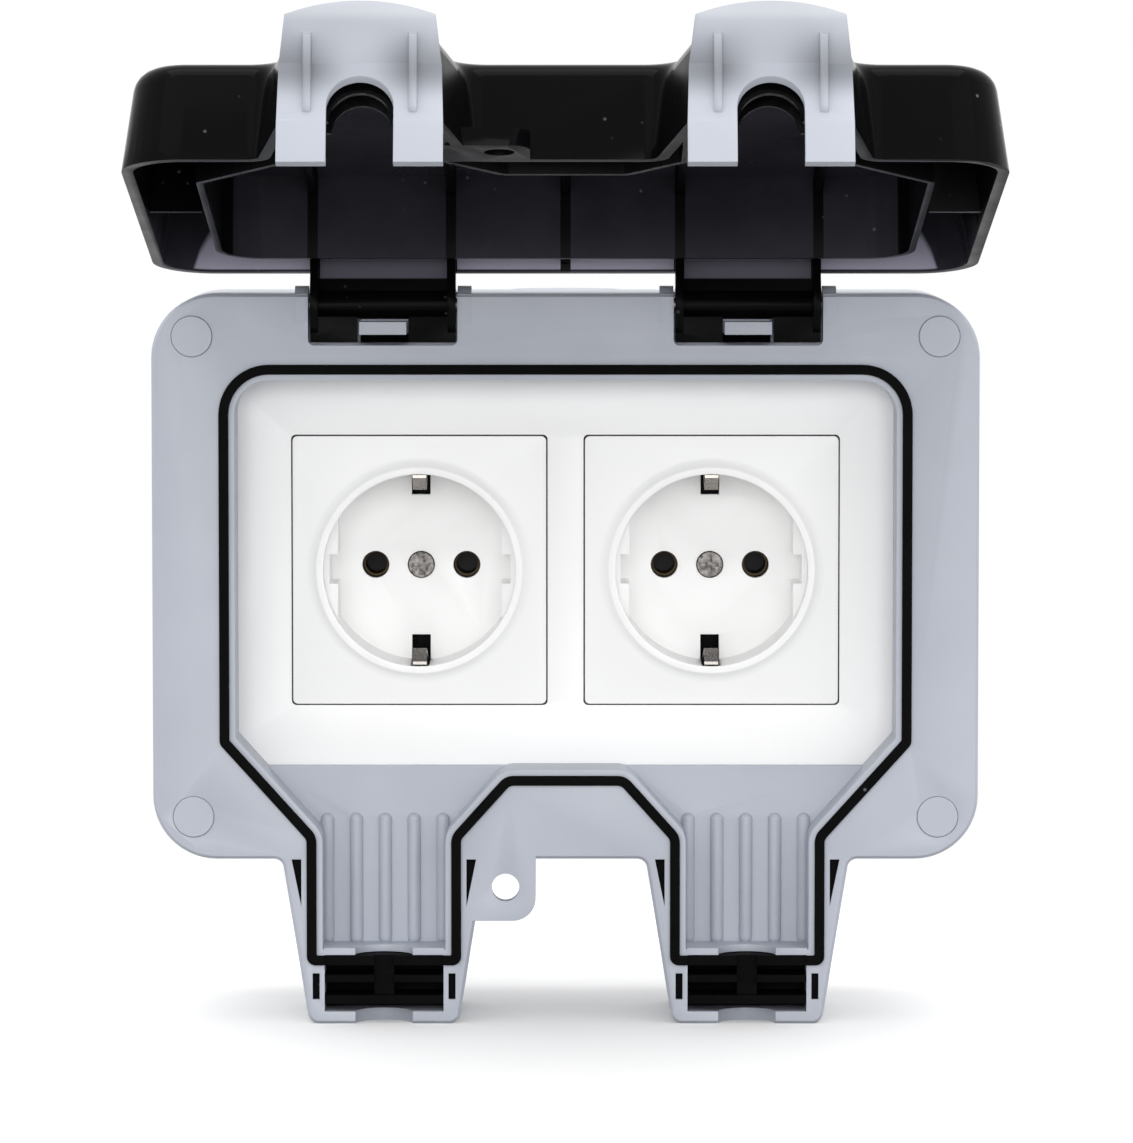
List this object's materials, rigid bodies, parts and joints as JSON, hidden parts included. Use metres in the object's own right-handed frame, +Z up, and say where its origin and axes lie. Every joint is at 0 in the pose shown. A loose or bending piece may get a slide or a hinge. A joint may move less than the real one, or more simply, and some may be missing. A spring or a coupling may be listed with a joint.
{
  "type": "outdoor weatherproof double socket",
  "caption": "Weatherproof double earthed socket with hinged lid, snap latches, gasket and two cable outlet legs.",
  "frame": {"origin": "middle of the flat back face, level with the socket centres", "axes": "+X to the right seen from the front, +Y into the wall, +Z up"},
  "size_m": [0.1686, 0.2012, 0.2067],
  "materials": {
    "housing": "fine satin moulded plastic",
    "latch": "smooth moulded plastic",
    "lid": "smoked gloss plastic",
    "rubber": "soft black rubber",
    "white_cover": "white semi gloss plastic",
    "mechanism": "moulded insulating plastic",
    "brass": "bright brass",
    "nickel": "nickel plated",
    "steel": "zinc plated steel"
  },
  "bodies": {
    "base": {"back_box": "housing", "box_seal": "rubber", "centre_screw_left": "nickel", "centre_screw_right": "nickel", "earth_strap_left": "nickel", "earth_strap_right": "nickel", "face_plate": "white_cover", "frame_screw_bottom_left": "steel", "frame_screw_bottom_right": "steel", "frame_screw_top_left": "steel", "frame_screw_top_right": "steel", "front_frame": "housing", "gasket": "rubber", "hinge_pin_left": "steel", "hinge_pin_right": "steel", "pin_contact_left_a": "brass", "pin_contact_left_b": "brass", "pin_contact_right_a": "brass", "pin_contact_right_b": "brass", "screw_cap_bottom_left": "housing", "screw_cap_bottom_right": "housing", "screw_cap_top_left": "housing", "screw_cap_top_right": "housing", "socket_base_left": "mechanism", "socket_base_right": "mechanism", "socket_cover_left": "white_cover", "socket_cover_right": "white_cover", "terminal_screws_left": "steel", "terminal_screws_right": "steel", "yoke": "steel", "yoke_screws": "steel"},
    "lid": {"lid": "lid", "latch_pin_left": "steel", "latch_pin_right": "steel"},
    "latch_left": {"latch_left": "latch"},
    "latch_right": {"latch_right": "latch"}
  },
  "joints": [
    {"name": "lid_hinge", "type": "hinge", "parent": "base", "child": "lid", "pos_m": [0, -0.0518, 0.055], "axis": [-1, 0, 0], "range_deg": [-102.2, 0]},
    {"name": "latch_left_pivot", "type": "hinge", "parent": "lid", "child": "latch_left", "pos_m": [-0.0372, -0.18825, 0.10435], "axis": [-1, 0, 0], "range_deg": [-8, 20]},
    {"name": "latch_right_pivot", "type": "hinge", "parent": "lid", "child": "latch_right", "pos_m": [0.0372, -0.18825, 0.10435], "axis": [-1, 0, 0], "range_deg": [-8, 20]}
  ]
}
